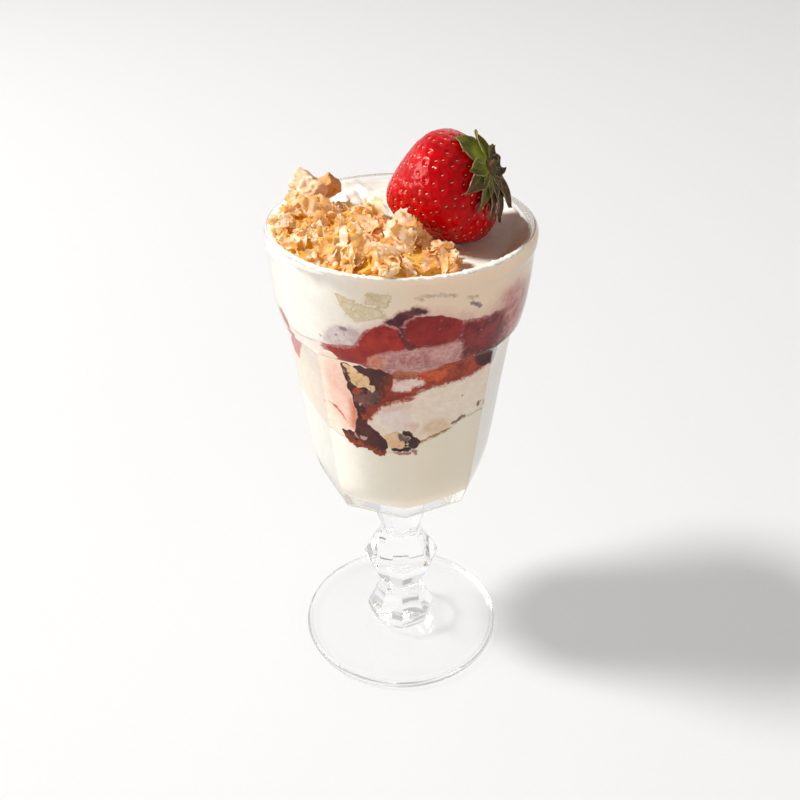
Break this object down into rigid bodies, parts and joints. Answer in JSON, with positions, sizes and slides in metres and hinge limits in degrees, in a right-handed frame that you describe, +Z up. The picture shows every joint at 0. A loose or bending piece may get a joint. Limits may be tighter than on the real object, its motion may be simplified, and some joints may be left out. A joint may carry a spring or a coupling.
{
  "type": "layered cream dessert in a footed glass",
  "caption": "Footed octagonal dessert glass filled with layered cream and cooked strawberry, topped with flaky crumbs and a whole strawberry.",
  "frame": {"origin": "middle of the foot, on the floor it stands on", "axes": "+Z up along the middle of the glass; the side the picture shows faces -Y, and the strawberry lies towards +X"},
  "size_m": [0.0816, 0.0816, 0.1933],
  "materials": {
    "clear_glass": "clear pressed glass, fire polished",
    "cream": "soft whipped cream, satin",
    "fruit": "cooked strawberry pieces in syrup, wet",
    "sauce": "dark reduced fruit sauce, wet",
    "biscuit": "baked biscuit, crumbly",
    "flaky_crumbs": "golden flaky pastry crumbs, crisp",
    "strawberry_skin": "fresh strawberry skin with seeds in dimples, glossy",
    "strawberry_leaf": "fresh leaf, matte"
  },
  "bodies": {
    "root": {"glass": "clear_glass", "cream_lower": "cream", "cream_middle": "cream", "cream_top": "cream", "fruit_layer": "fruit", "sauce_swirl": "sauce", "biscuit_piece_upper": "biscuit", "biscuit_piece_lower": "biscuit", "crumble": "flaky_crumbs", "biscuit_chunk": "biscuit", "strawberry": "strawberry_skin", "strawberry_calyx": "strawberry_leaf"}
  },
  "joints": []
}
